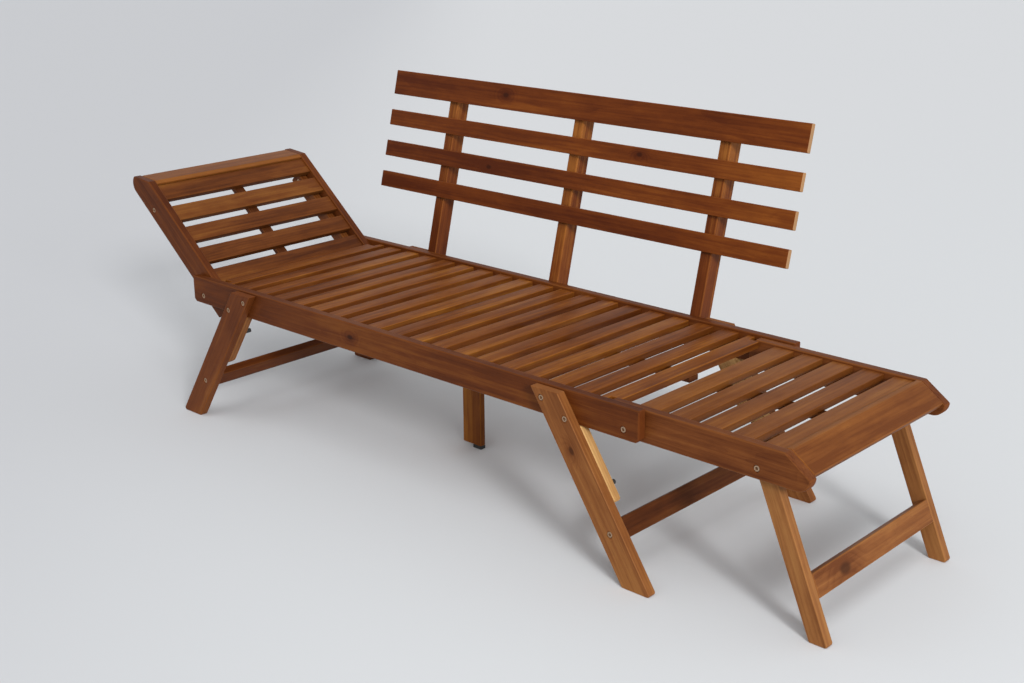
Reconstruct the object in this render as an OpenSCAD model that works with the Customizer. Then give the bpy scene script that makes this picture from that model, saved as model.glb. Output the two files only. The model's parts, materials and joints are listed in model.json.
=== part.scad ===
// Convertible garden bench of oiled hardwood.
// A slatted seat with a backrest stands on splayed legs and a centre leg.
// A slatted panel hinges at each end, and a leg frame folds out from under each panel.
// Lengths are in millimetres. X runs along the bench, Y from front to back, and Z is up.

/* [Seat frame] */
// Height of the rails' top edges above the floor
seat_height = 345; // [335:1:375]
// Length of each long rail
rail_length = 1336; // [1280:1:1440]
// Distance between the outer faces of the two long rails
frame_depth = 528; // [480:1:580]
// Height of a long rail's board
rail_height = 63; // [58:0.5:70]
// Thickness of a long rail's board
rail_thick = 20; // [18:0.5:24]
// Corner cut off the lower end of a long rail
rail_corner = 7; // [4:0.5:12]

/* [Seat] */
// Number of boards across the fixed seat
seat_slats = 19; // [17:1:20]
// Width of a seat board
slat_width = 40; // [36:0.5:44]
// Thickness of a seat or panel board
slat_thick = 14; // [12:0.5:16]
// Depth of the seat boards' tops below the rails' tops
slat_drop = 6; // [4:0.5:8]
// Width of the batten that ties the boards from below
batten_width = 28; // [22:1:36]
// Thickness of the batten
batten_thick = 12; // [10:0.5:14]

/* [Main legs] */
// Width of a leg's board, square to its length
leg_width = 56; // [50:0.5:62]
// Thickness of a leg's board
leg_thick = 20; // [16:0.5:24]
// Lean of the legs away from upright, in degrees
leg_splay = 33.5; // [31:0.5:35]
// Distance of a leg's outer edge from the rail's end, along the rail's lower edge
leg_inset = 135.5; // [125:0.5:145]
// Depth of a leg's top below the rail's top
leg_top_drop = 4; // [2:0.5:6]
// Depth of the filling blocks below the rails
block_depth = 132; // [124:1:140]
// Width of a stretcher, along the legs
stretcher_width = 40; // [34:1:46]
// Thickness of a stretcher
stretcher_thick = 20; // [16:0.5:24]
// Depth of a stretcher's centre line below the rails
stretcher_drop = 185; // [178:1:190]

/* [Centre leg] */
// Width of the centre leg
centre_leg_width = 56; // [48:1:64]
// Thickness of the centre leg
centre_leg_thick = 15; // [12:0.5:20]
// Distance of the centre leg from the middle of the bench
centre_leg_offset = 23; // [0:1:40]
// Length of the pad under the centre leg
pad_length = 25; // [20:1:40]
// Height of the pad under the centre leg
pad_height = 8; // [5:0.5:12]

/* [Backrest] */
// Lean of the backrest away from upright, in degrees
back_lean = 13.9; // [11:0.1:16]
// Length of a backrest board
back_slat_length = 1218; // [1150:1:1280]
// Width of the top backrest board
top_slat_width = 60; // [54:0.5:66]
// Width of the three lower backrest boards
back_slat_width = 39.5; // [36:0.5:42]
// Gap between backrest boards
back_slat_gap = 39; // [35:0.5:42]
// Thickness of a backrest board
back_slat_thick = 12; // [10:0.5:14]
// Distance up the slope from seat height to the lowest backrest board
back_first_gap = 140; // [125:1:155]
// Width of a post, seen from the front
post_width = 28; // [22:0.5:32]
// Depth of a post from front to back
post_depth = 40; // [34:0.5:46]
// Distance between neighbouring posts
post_spacing = 404; // [380:1:430]
// Distance of a post's top below the top board's upper edge
post_cover = 5; // [3:0.5:12]

/* [End panels] */
// Distance from a panel's pivot to its nose
panel_reach = 375; // [372:1:400]
// Height of a panel's side rail
panel_rail_height = 63; // [60:0.5:66]
// Thickness of a panel's side rail
panel_rail_thick = 20; // [18:0.5:22]
// Depth of a flat panel's side rails below the long rails' tops
panel_drop = 4; // [3:0.5:6]
// Depth of the panel boards' tops below their side rails' tops
panel_slat_drop = 5; // [4:0.5:7]
// Width of a panel board
panel_slat_width = 45; // [42:0.5:48]
// Distance of a pivot from the long rail's end
pivot_inset = 36; // [34:0.5:40]
// Height of a pivot above the long rail's lower edge
pivot_rise = 19; // [18:0.5:21]
// Radius of a side rail's inner end about its pivot
tail_radius = 60; // [56:0.5:64]
// Length of the slope at a side rail's outer end, along the rail
slope_run = 51; // [46:0.5:56]
// Height of the slope at a side rail's outer end
slope_fall = 36; // [33:0.5:38]
// Thickness of the end board that closes a panel
end_board_thick = 14; // [12:0.5:16]
// Width of the end board's level top
end_board_top = 11; // [9:0.5:13]
// Angle to which the left panel is raised, in degrees
left_raise = 40; // [20:1:60]

/* [Folding leg frames] */
// Width of a folding leg, square to its length
fold_leg_width = 35; // [32:0.5:38]
// Thickness of a folding leg
fold_leg_thick = 20; // [16:0.5:22]
// Lean of the folding legs away from upright when they stand, in degrees
fold_splay = 23.2; // [21:0.1:25]
// Distance of the folding legs' bolts from the end board's level top
fold_bolt_inset = 43; // [40:0.5:44]
// Depth of the folding legs' bolts below the pivots' level
fold_bolt_drop = 4; // [3:0.5:5]
// Width of the folding frame's stretcher, along the legs
fold_stretcher_width = 45; // [38:1:52]
// Thickness of the folding frame's stretcher
fold_stretcher_thick = 15; // [12:0.5:17]
// Height of the folding frame's stretcher above the floor when it stands
fold_stretcher_height = 98; // [90:1:106]

/* [Fasteners] */
// Diameter of the bolts' shanks
bolt_diameter = 8; // [6:0.5:9]
// Diameter of the bolts' heads and sleeve nuts
head_diameter = 13; // [11:0.5:15]
// Thickness of a bolt's head or nut
head_thick = 4; // [3:0.5:5]
// Depth of heads and nuts below the wood's face
head_recess = 1; // [0.5:0.1:1.5]
// Diameter of the stop pins in the filling blocks
pin_diameter = 10; // [8:0.5:12]
// Distance of the stop pins from the pivots
pin_radius = 138; // [134:1:142]

/* [Clearances] */
// Gap between boards that slide past each other
layer_gap = 0.5; // [0.4:0.1:0.8]
// Gap all round a bolt's shank
bolt_fit = 0.05; // [0.02:0.01:0.09]
// Gap all round a bolt's head or nut
head_fit = 0.4; // [0.3:0.1:0.6]
// Gap between the seat boards and the moving panels
swing_gap = 1; // [0.8:0.1:2]
// Gap between a panel's last board and its end board
end_board_gap = 1; // [0.5:0.1:2]
// Gap between a standing folding leg and its stop
stop_gap = 0.3; // [0.3:0.1:0.6]

/* [Hidden] */
SEAT_NAMES = [for (i = [1 : seat_slats]) seat_name(i)];
FRAME_NAMES = [
  "front_rail", "back_rail", "seat_batten", "centre_leg", "centre_leg_pad",
  "front_left_leg", "front_right_leg", "back_left_leg", "back_right_leg", "leg_blocks",
  "left_stretcher", "right_stretcher", "left_post", "centre_post", "right_post",
  "back_slat_bottom", "back_slat_lower", "back_slat_upper", "back_slat_top",
  "frame_bolts", "post_bolts", "pivot_bolts", "stop_pins"
];
PANEL_NAMES = ["panel_front_rail", "panel_back_rail", "panel_slats", "panel_batten",
               "panel_end_board", "folding_leg_bolts", "folding_front_leg", "folding_back_leg",
               "folding_stretcher"];

$fn = 48;
wood = "#8a5229";
dark_wood = "#6b3c1c";
pale_wood = "#b07a3c";
zinc = "#b9a98a";
rubber = "#2b2826";

// One length past a face, for every cut that has to break through
overrun = 2;

// Long rails and the layers of boards inside them, as distances from the centre plane
rail_half = rail_length / 2;
rail_bottom = seat_height - rail_height;
rail_out = frame_depth / 2;
rail_in = rail_out - rail_thick;
leg_out = rail_out + leg_thick;
panel_out = rail_in - layer_gap;
panel_in = panel_out - panel_rail_thick;
fold_out = panel_in - layer_gap;
fold_in = fold_out - fold_leg_thick;

// Pivots, and the heights of a panel's edges above its pivot
pivot_x = rail_half - pivot_inset;
pivot_z = rail_bottom + pivot_rise;
panel_top = seat_height - panel_drop - pivot_z;
panel_bottom = panel_top - panel_rail_height;
panel_slat_top = panel_top - panel_slat_drop;
panel_slat_bottom = panel_slat_top - slat_thick;

// A side rail's outer end: the slope's two corners, and the round under the nose
slope_top_u = panel_reach - slope_run;
nose_v = panel_top - slope_fall;
nose_round = nose_v - panel_bottom;
nose_u = panel_reach - nose_round;
tail_lap = tail_radius / 3;

// Seat boards, spread between the two pivots clear of the raised panels' first boards
seat_half = pivot_x - panel_slat_top - swing_gap;
seat_pitch = (2 * seat_half - slat_width) / (seat_slats - 1);
seat_slat_bottom = seat_height - slat_drop - slat_thick;
notch_start = pivot_x - tail_radius - layer_gap;

// Panel boards, spread from the pivot to the end board
panel_slats = 5;
end_board_start = slope_top_u - end_board_top;
panel_slats_end = end_board_start - end_board_gap;
panel_pitch = (panel_slats_end - panel_slat_width) / (panel_slats - 1);
slope_length = norm([slope_run, slope_fall]);
slope_dir = [slope_run, -slope_fall] / slope_length;
slope_in = [-slope_fall, -slope_run] / slope_length;

// Main legs: their outer edge leans, and their boards are cut level at both ends
foot_x = rail_half - leg_inset + rail_bottom * tan(leg_splay);
leg_run = leg_width / cos(leg_splay);
leg_top = seat_height - leg_top_drop;
block_height = rail_bottom - block_depth;
block_corner = leg_width / 8;
// Places of the two bolts that hold each leg, from its edges and from the rail's
leg_bolt_edge = 14;
upper_bolt_drop = 22;
lower_bolt_rise = 13;
upper_bolt_z = seat_height - upper_bolt_drop;
lower_bolt_z = rail_bottom + lower_bolt_rise;
upper_bolt_x = leg_edge(upper_bolt_z) - leg_run + leg_bolt_edge;
lower_bolt_x = leg_edge(lower_bolt_z) - leg_bolt_edge;
stretcher_height = rail_bottom - stretcher_drop;
stretcher_x = leg_edge(stretcher_height) - leg_run / 2;
stretcher_bolt_length = 60;
// Directions of the stop pins from the pivot, in degrees below level
pin_angles = [29.6, 68.7];
pin_reach = panel_rail_thick;
pin_seat = 12;

// Backrest: distances up the slope, and the line where the posts bend
back_slat_pitch = back_slat_width + back_slat_gap;
top_slat_start = back_first_gap + 3 * back_slat_pitch;
post_end = top_slat_start + top_slat_width - post_cover;
// Depth of the boards' front face in front of the rail's back face, at seat height
back_set = 10.7;
lean_dir = [sin(back_lean), cos(back_lean)];
lean_out = [cos(back_lean), -sin(back_lean)];
back_origin = [rail_out - back_set, seat_height];
post_face = back_origin + back_slat_thick * lean_out;
post_rear = post_face + post_depth * lean_out;
post_bend_z = post_face[1] + (rail_out - post_face[0]) / tan(back_lean);
post_rear_z = post_rear[1] + (rail_out + post_depth - post_rear[0]) / tan(back_lean);
// Heights of the two bolts that hold each post, above the rail's lower edge
post_bolt_rises = [15, 35];

// Folding legs: where they are bolted to a panel, and how they are cut
fold_bolt_u = end_board_start - fold_bolt_inset;
fold_bolt_v = -fold_bolt_drop;
fold_drop = pivot_z + fold_bolt_v;
fold_stop_height = panel_slat_bottom - fold_bolt_v - stop_gap;
fold_half = fold_leg_width / 2;
fold_head = (fold_stop_height - fold_half * sin(fold_splay)) / cos(fold_splay);
fold_toe = (fold_drop + fold_half * sin(fold_splay)) / cos(fold_splay);
fold_heel = (fold_drop - fold_half * sin(fold_splay)) / cos(fold_splay);
fold_stretcher_drop = (fold_drop - fold_stretcher_height + fold_half * sin(fold_splay))
                      / cos(fold_splay);
standing = -fold_splay;
folded = 90;

// The object's box at rest, which puts its origin at the middle of the box on the floor
left_end = pivot_x + nose_u * cos(left_raise) - nose_v * sin(left_raise) + nose_round;
right_end = pivot_x + fold_bolt_u + fold_half * cos(fold_splay) + fold_toe * sin(fold_splay);
back_end = post_rear[0] + post_end * lean_dir[0];
shift_x = (left_end - right_end) / 2;
shift_y = (leg_out - back_end) / 2;

function seat_name(i) = str("seat_slat_", i < 10 ? "0" : "", i);
function leg_edge(z) = foot_x - z * tan(leg_splay);
function pin_place(a) = [pivot_x - pin_radius * cos(a), pivot_z - pin_radius * sin(a)];

module placed() {
  translate([shift_x, shift_y, 0])
    children();
}

module both_sides() {
  children();
  mirror([0, 1, 0])
    children();
}

module both_ends() {
  children();
  mirror([1, 0, 0])
    children();
}

// An outline drawn in X and Z, made a board between two distances in front of the centre plane
module front_board(outer, inner) {
  translate([0, -inner, 0])
    rotate([90, 0, 0])
      linear_extrude(height = outer - inner)
        children();
}

// A bolt along Y with its sleeve nut, from a head in the outer face to a nut in the inner one
module bolt(x, z, outer, inner, end_nut = true) {
  span = outer - inner - 2 * head_recess;
  translate([x, head_recess - outer, z])
    rotate([-90, 0, 0]) {
      cylinder(d = head_diameter, h = head_thick);
      cylinder(d = bolt_diameter, h = span);
      if (end_nut)
        translate([0, 0, span - head_thick])
          cylinder(d = head_diameter, h = head_thick);
    }
}

// The holes that a bolt needs: its bore, and a sink at each face that holds a head or a nut
module bolt_cut(x, z, outer, inner, end_nut = true) {
  sink = head_recess + head_thick + head_fit;
  sink_diameter = head_diameter + 2 * head_fit;
  translate([x, -outer, z])
    rotate([-90, 0, 0]) {
      translate([0, 0, -overrun])
        cylinder(d = sink_diameter, h = overrun + sink);
      cylinder(d = bolt_diameter + 2 * bolt_fit, h = outer - inner);
      if (end_nut)
        translate([0, 0, outer - inner - sink])
          cylinder(d = sink_diameter, h = overrun + sink);
    }
}

module leg_bolts_at(cut = false) {
  places = [[upper_bolt_x, upper_bolt_z], [lower_bolt_x, lower_bolt_z]];
  for (p = places)
    if (cut)
      bolt_cut(p[0], p[1], leg_out, rail_in);
    else
      bolt(p[0], p[1], leg_out, rail_in);
}

module stretcher_bolt_at(cut = false) {
  tip = rail_out - stretcher_bolt_length;
  if (cut)
    bolt_cut(stretcher_x, stretcher_height, leg_out, tip, end_nut = false);
  else
    bolt(stretcher_x, stretcher_height, leg_out, tip, end_nut = false);
}

module pivot_bolt_at(cut = false) {
  if (cut)
    bolt_cut(pivot_x, pivot_z, rail_out, panel_in);
  else
    bolt(pivot_x, pivot_z, rail_out, panel_in);
}

module post_bolts_at(cut = false) {
  for (i = [-1 : 1], rise = post_bolt_rises)
    if (cut)
      bolt_cut(i * post_spacing, rail_bottom + rise, rail_out + post_depth, rail_in);
    else
      bolt(i * post_spacing, rail_bottom + rise, rail_out + post_depth, rail_in);
}

module rail_outline() {
  polygon([
    [-rail_half, seat_height], [-rail_half, rail_bottom + rail_corner],
    [rail_corner - rail_half, rail_bottom], [rail_half - rail_corner, rail_bottom],
    [rail_half, rail_bottom + rail_corner], [rail_half, seat_height]
  ]);
}

module front_rail() {
  placed()
    color(wood)
      difference() {
        front_board(rail_out, rail_in)
          rail_outline();
        both_ends() {
          leg_bolts_at(cut = true);
          pivot_bolt_at(cut = true);
        }
      }
}

module back_rail() {
  placed()
    color(wood)
      mirror([0, 1, 0])
        difference() {
          front_board(rail_out, rail_in)
            rail_outline();
          both_ends() {
            leg_bolts_at(cut = true);
            pivot_bolt_at(cut = true);
          }
          post_bolts_at(cut = true);
        }
}

// A board across the seat; the two end boards are notched for the panels' side rails
module seat_slat(i) {
  middle = (i - (seat_slats + 1) / 2) * seat_pitch;
  placed()
    color(wood)
      difference() {
        translate([middle - slat_width / 2, -rail_in, seat_slat_bottom])
          cube([slat_width, 2 * rail_in, slat_thick]);
        if (i == 1 || i == seat_slats)
          both_ends()
            both_sides()
              translate([notch_start, panel_in - layer_gap, seat_slat_bottom - overrun])
                cube([tail_radius, rail_thick + panel_rail_thick, slat_thick + 2 * overrun]);
      }
}

module seat_batten() {
  placed()
    color(dark_wood)
      translate([-seat_half, -batten_width / 2, seat_slat_bottom - batten_thick])
        cube([2 * seat_half, batten_width, batten_thick]);
}

module centre_leg() {
  placed()
    color(dark_wood)
      translate([-centre_leg_offset - centre_leg_width / 2, batten_width / 2, pad_height])
        cube([centre_leg_width, centre_leg_thick, seat_slat_bottom - pad_height]);
}

module centre_leg_pad() {
  placed()
    color(rubber)
      translate([centre_leg_width / 2 - centre_leg_offset - pad_length, batten_width / 2, 0])
        cube([pad_length, centre_leg_thick, pad_height]);
}

module main_leg() {
  color(wood)
    difference() {
      front_board(leg_out, rail_out)
        polygon([
          [leg_edge(0) - leg_run, 0], [leg_edge(0), 0],
          [leg_edge(leg_top), leg_top], [leg_edge(leg_top) - leg_run, leg_top]
        ]);
      leg_bolts_at(cut = true);
      stretcher_bolt_at(cut = true);
    }
}

// A board that fills the space behind a leg, in line with the rail above it
module leg_block() {
  color(pale_wood)
    difference() {
      front_board(rail_out, rail_in)
        polygon([
          [leg_edge(block_height) - leg_run + block_corner, block_height],
          [leg_edge(block_height) - block_corner, block_height],
          [leg_edge(block_height + block_corner), block_height + block_corner],
          [leg_edge(rail_bottom), rail_bottom], [leg_edge(rail_bottom) - leg_run, rail_bottom],
          [leg_edge(block_height + block_corner) - leg_run, block_height + block_corner]
        ]);
      for (a = pin_angles)
        translate([pin_place(a)[0], -rail_in - pin_seat, pin_place(a)[1]])
          rotate([-90, 0, 0])
            cylinder(d = pin_diameter + 2 * bolt_fit, h = pin_seat + overrun);
    }
}

module leg_blocks() {
  placed()
    both_ends()
      both_sides()
        leg_block();
}

module stop_pins() {
  placed()
    color(rubber)
      both_ends()
        both_sides()
          for (a = pin_angles)
            translate([pin_place(a)[0], -rail_in - pin_seat, pin_place(a)[1]])
              rotate([-90, 0, 0])
                cylinder(d = pin_diameter, h = pin_seat + pin_reach);
}

// A stretcher between the front and back legs, on the legs' centre lines
module stretcher() {
  color(dark_wood)
    difference() {
      translate([stretcher_x, 0, stretcher_height])
        rotate([0, -leg_splay, 0])
          cube([stretcher_thick, 2 * rail_out, stretcher_width], center = true);
      both_sides()
        stretcher_bolt_at(cut = true);
    }
}

module frame_bolts() {
  placed()
    color(zinc)
      both_ends()
        both_sides() {
          leg_bolts_at();
          stretcher_bolt_at();
        }
}

module post_bolts() {
  placed()
    color(zinc)
      mirror([0, 1, 0])
        post_bolts_at();
}

module pivot_bolts() {
  placed()
    color(zinc)
      both_ends()
        both_sides()
          pivot_bolt_at();
}

// A post with a bend: upright against the back rail, and leaning above it
module post(i) {
  top_front = post_face + post_end * lean_dir;
  top_rear = post_rear + post_end * lean_dir;
  placed()
    color(dark_wood)
      difference() {
        translate([i * post_spacing - post_width / 2, 0, 0])
          rotate([90, 0, 90])
            linear_extrude(height = post_width)
              polygon([
                [rail_out, rail_bottom], [rail_out, post_bend_z], top_front, top_rear,
                [rail_out + post_depth, post_rear_z], [rail_out + post_depth, rail_bottom]
              ]);
        mirror([0, 1, 0])
          post_bolts_at(cut = true);
      }
}

// A board along the backrest, from a distance up the slope
module back_slat(start, width) {
  placed()
    color(wood)
      translate([-back_slat_length / 2, back_origin[0], back_origin[1]])
        rotate([-back_lean, 0, 0])
          translate([0, 0, start])
            cube([back_slat_length, back_slat_thick, width]);
}

// Places a panel, drawn flat from its pivot, at the right end or mirrored to the left one
module right_panel() {
  placed()
    translate([pivot_x, 0, pivot_z])
      children();
}

module left_panel() {
  placed()
    mirror([1, 0, 0])
      translate([pivot_x, 0, pivot_z])
        rotate([0, -left_raise, 0])
          children();
}

module panel_rail() {
  color(wood)
    difference() {
      union() {
        front_board(panel_out, panel_in)
          polygon([
            [0, panel_bottom], [0, panel_top], [slope_top_u, panel_top],
            [panel_reach, nose_v], [nose_u, panel_bottom]
          ]);
        front_board(panel_out, panel_in)
          intersection() {
            translate([nose_u, nose_v])
              circle(r = nose_round);
            translate([nose_u - nose_round, panel_bottom])
              square([2 * nose_round, nose_round]);
          }
        front_board(panel_out, panel_in)
          intersection() {
            circle(r = tail_radius);
            translate([-tail_radius, panel_bottom])
              square([tail_radius + tail_lap, panel_rail_height]);
          }
      }
      panel_bolt_cuts();
    }
}

// The pivot's bore and the folding leg's bore, in a panel's own frame
module panel_bolt_cuts() {
  bolt_cut(0, 0, rail_out, panel_in);
  bolt_cut(fold_bolt_u, fold_bolt_v, panel_out, fold_in);
}

module panel_back_rail() {
  mirror([0, 1, 0])
    panel_rail();
}

module panel_boards() {
  color(wood)
    for (i = [0 : panel_slats - 1])
      translate([i * panel_pitch, -panel_in, panel_slat_bottom])
        cube([panel_slat_width, 2 * panel_in, slat_thick]);
}

module panel_batten() {
  color(dark_wood)
    translate([0, -batten_width / 2, panel_slat_bottom - batten_thick])
      cube([panel_slats_end, batten_width, batten_thick]);
}

// The board that closes a panel, lying along the side rails' slopes
module panel_end_board() {
  top = [slope_top_u, panel_top];
  low_face = top + (slope_length - panel_slat_drop) * slope_dir;
  low_back = low_face + end_board_thick * slope_in;
  high_back = top + end_board_thick * slope_in;
  start_share = (end_board_start - high_back[0]) / slope_dir[0];
  color(wood)
    front_board(panel_in, -panel_in)
      polygon([
        [end_board_start, panel_top], top, low_face, low_back,
        high_back + start_share * slope_dir
      ]);
}

module folding_leg_bolts() {
  color(zinc)
    both_sides()
      bolt(fold_bolt_u, fold_bolt_v, panel_out, fold_in);
}

// Places a folding leg frame, drawn hanging from its bolts, at its angle on a panel
module fold_frame(angle) {
  translate([fold_bolt_u, 0, fold_bolt_v])
    rotate([0, angle, 0])
      children();
}

// A folding leg; its outer top corner meets a panel board and stops it when it stands
module folding_leg() {
  color(pale_wood)
    difference() {
      union() {
        front_board(fold_out, fold_in)
          polygon([
            [-fold_half, 0], [0, 0], [0, fold_head], [fold_half, fold_head],
            [fold_half, -fold_toe], [-fold_half, -fold_heel]
          ]);
        front_board(fold_out, fold_in)
          intersection() {
            circle(r = fold_head);
            translate([-fold_half, -fold_half])
              square([fold_leg_width, fold_half + fold_head]);
          }
      }
      bolt_cut(0, 0, panel_out, fold_in);
    }
}

module folding_back_leg() {
  mirror([0, 1, 0])
    folding_leg();
}

module folding_stretcher() {
  color(pale_wood)
    translate([fold_half - fold_stretcher_thick / 2, 0, -fold_stretcher_drop])
      cube([fold_stretcher_thick, 2 * fold_in, fold_stretcher_width], center = true);
}

for (i = [1 : seat_slats])
  seat_slat(i);

front_rail();
back_rail();
seat_batten();
centre_leg();
centre_leg_pad();
placed() main_leg();  // front_right_leg
placed() mirror([1, 0, 0]) main_leg();  // front_left_leg
placed() mirror([0, 1, 0]) main_leg();  // back_right_leg
placed() rotate([0, 0, 180]) main_leg();  // back_left_leg
leg_blocks();
stop_pins();
placed() stretcher();  // right_stretcher
placed() mirror([1, 0, 0]) stretcher();  // left_stretcher
post(-1);  // left_post
post(0);  // centre_post
post(1);  // right_post
back_slat(back_first_gap, back_slat_width);  // back_slat_bottom
back_slat(back_first_gap + back_slat_pitch, back_slat_width);  // back_slat_lower
back_slat(back_first_gap + 2 * back_slat_pitch, back_slat_width);  // back_slat_upper
back_slat(top_slat_start, top_slat_width);  // back_slat_top
frame_bolts();
post_bolts();
pivot_bolts();

left_panel() panel_rail();  // left_panel_front_rail
left_panel() panel_back_rail();  // left_panel_back_rail
left_panel() panel_boards();  // left_panel_slats
left_panel() panel_batten();  // left_panel_batten
left_panel() panel_end_board();  // left_panel_end_board
left_panel() folding_leg_bolts();  // left_folding_leg_bolts
left_panel() fold_frame(folded) folding_leg();  // left_folding_front_leg
left_panel() fold_frame(folded) folding_back_leg();  // left_folding_back_leg
left_panel() fold_frame(folded) folding_stretcher();  // left_folding_stretcher

right_panel() panel_rail();  // right_panel_front_rail
right_panel() panel_back_rail();  // right_panel_back_rail
right_panel() panel_boards();  // right_panel_slats
right_panel() panel_batten();  // right_panel_batten
right_panel() panel_end_board();  // right_panel_end_board
right_panel() folding_leg_bolts();  // right_folding_leg_bolts
right_panel() fold_frame(standing) folding_leg();  // right_folding_front_leg
right_panel() fold_frame(standing) folding_back_leg();  // right_folding_back_leg
right_panel() fold_frame(standing) folding_stretcher();  // right_folding_stretcher
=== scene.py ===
import json
import math
import random

import bmesh
import bpy
from mathutils import Matrix, Vector

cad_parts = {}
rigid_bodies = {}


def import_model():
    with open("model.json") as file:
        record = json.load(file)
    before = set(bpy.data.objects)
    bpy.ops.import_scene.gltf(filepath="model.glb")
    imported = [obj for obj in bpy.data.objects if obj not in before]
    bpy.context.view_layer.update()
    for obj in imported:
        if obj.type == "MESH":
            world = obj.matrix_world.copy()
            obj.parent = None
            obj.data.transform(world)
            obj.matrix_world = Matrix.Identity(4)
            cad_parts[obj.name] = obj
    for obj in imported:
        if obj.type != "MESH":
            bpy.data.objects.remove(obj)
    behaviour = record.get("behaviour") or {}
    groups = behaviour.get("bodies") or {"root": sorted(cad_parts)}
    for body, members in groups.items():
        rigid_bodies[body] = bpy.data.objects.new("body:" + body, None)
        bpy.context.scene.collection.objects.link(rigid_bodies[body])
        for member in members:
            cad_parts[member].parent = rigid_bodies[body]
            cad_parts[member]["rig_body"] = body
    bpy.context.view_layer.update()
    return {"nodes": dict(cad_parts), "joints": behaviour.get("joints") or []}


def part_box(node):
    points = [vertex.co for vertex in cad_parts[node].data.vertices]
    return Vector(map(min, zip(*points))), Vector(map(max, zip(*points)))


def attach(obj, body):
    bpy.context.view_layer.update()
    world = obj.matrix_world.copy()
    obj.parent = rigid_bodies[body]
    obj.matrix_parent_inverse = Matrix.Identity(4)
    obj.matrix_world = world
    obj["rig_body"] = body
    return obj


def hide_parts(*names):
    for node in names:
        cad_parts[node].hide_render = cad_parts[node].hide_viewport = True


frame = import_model()

# Long rails: two boards of oiled hardwood on edge, which carry the seat between them.
# They are planed, their edges are eased with sandpaper, and the oil brings out golden sapwood,
# dark heartwood streaks and a few knots, differently on every board.

mm = 0.001
grain_seed = 11
chance = random.Random(grain_seed)


class Value:
    """One output of a node; sums and products of values add the Math nodes."""

    def __init__(self, nodes, node, out=0):
        self.nodes = nodes
        self.node = node
        self.out = out

    @property
    def socket(self):
        return self.node.outputs[self.out]

    def output(self, out):
        return Value(self.nodes, self.node, out)

    def maths(self, operation, other=0.0):
        return self.nodes.maths(operation, self, other)

    def __add__(self, other):
        return self.nodes.maths("ADD", self, other)

    def __sub__(self, other):
        return self.nodes.maths("SUBTRACT", self, other)

    def __mul__(self, other):
        return self.nodes.maths("MULTIPLY", self, other)

    def __rsub__(self, other):
        return self.nodes.maths("SUBTRACT", other, self)

    __radd__ = __add__
    __rmul__ = __mul__


class Nodes:
    """The nodes of one tree, each added with its settings first and then its sockets."""

    def __init__(self, tree):
        self.tree = tree

    def add(self, kind, settings=None, sockets=None, out=0):
        node = self.tree.nodes.new(kind)
        for key, value in (settings or {}).items():
            if key == "stops":
                self.set_stops(node.color_ramp, value)
            else:
                setattr(node, key, value)
        for key, value in (sockets or {}).items():
            if isinstance(value, Value):
                self.tree.links.new(value.socket, node.inputs[key])
            else:
                node.inputs[key].default_value = value
        return Value(self, node, out)

    def set_stops(self, ramp, stops):
        while len(ramp.elements) < len(stops):
            ramp.elements.new(1.0)
        for element, (place, colour) in zip(ramp.elements, stops):
            element.position = place
            element.color = (*colour, 1.0)

    def maths(self, operation, first, second=0.0):
        return self.add("ShaderNodeMath", {"operation": operation}, {0: first, 1: second})

    def vector(self, operation, first, second=(0, 0, 0), third=(0, 0, 0)):
        settings = {"operation": operation}
        sockets = {0: first, 1: second}
        if operation == "MULTIPLY_ADD":
            sockets[2] = third
        return self.add("ShaderNodeVectorMath", settings, sockets)

    def smooth(self, value, low, high):
        settings = {"interpolation_type": "SMOOTHSTEP"}
        return self.add("ShaderNodeMapRange", settings, {0: value, 1: low, 2: high})

    def mix(self, factor, first, second):
        """A blend of two colours, each given as a value or as red, green and blue."""
        first = first if isinstance(first, Value) else (*first, 1.0)
        second = second if isinstance(second, Value) else (*second, 1.0)
        sockets = {0: factor, 6: first, 7: second}
        return self.add("ShaderNodeMix", {"data_type": "RGBA"}, sockets, out=2)

    def attribute(self, name, out="Fac"):
        return self.add("ShaderNodeAttribute", {"attribute_name": name}, out=out)

    def parts(self, vector):
        """The X part of a vector, whose outputs Y and Z are the other two."""
        return self.add("ShaderNodeSeparateXYZ", None, {0: vector})

    def joined(self, x=0.0, y=0.0, z=0.0):
        return self.add("ShaderNodeCombineXYZ", None, {0: x, 1: y, 2: z})

    def store(self, geometry, name, value, kind="FLOAT", domain="FACE"):
        """The geometry with a value written on it under a name, for the materials to read."""
        return self.add("GeometryNodeStoreNamedAttribute", {"data_type": kind, "domain": domain},
                        {"Geometry": geometry, "Name": name, "Value": value})


def finish_named(name):
    """A new material with an empty tree, and the writer of its nodes."""
    material = bpy.data.materials.new(name)
    material.use_nodes = True
    material.node_tree.nodes.clear()
    return material, Nodes(material.node_tree)


def scaled(colour, factor):
    return tuple(factor * part for part in colour)


def close_finish(nodes, sockets):
    """Ends a material's tree in one Principled surface with these sockets."""
    surface = nodes.add("ShaderNodeBsdfPrincipled", None, sockets)
    nodes.add("ShaderNodeOutputMaterial", None, {"Surface": surface})


# How far each pattern shifts a board's tone from heartwood at 0 to sapwood at 1
patch_shift = 1.0
streak_shift = 0.70
board_shift = 0.18
thread_shift = 0.55
fibre_shift = 0.24
blotch_shift = 0.55
ring_shift = 0.10
halo_shift = 0.26
middle_tone = 0.5

# Where the three colours lie on that scale
heart_tone = 0.12
sap_tone = 0.92

# How strongly pores, knots, sawn ends, painted shade on narrow faces and worn, highlit edges take
# their own colour
pore_share = 0.35
knot_share = 0.85
end_share = 0.7
gap_shade_share = 0.45
edge_share = 0.24

# That colour, as a multiple of the heartwood's, the usual wood's or the sapwood's
pore_dark = 0.45
knot_dark = 0.42
end_light = 1.1
gap_shade_dark = 0.6
edge_light = 1.2

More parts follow.
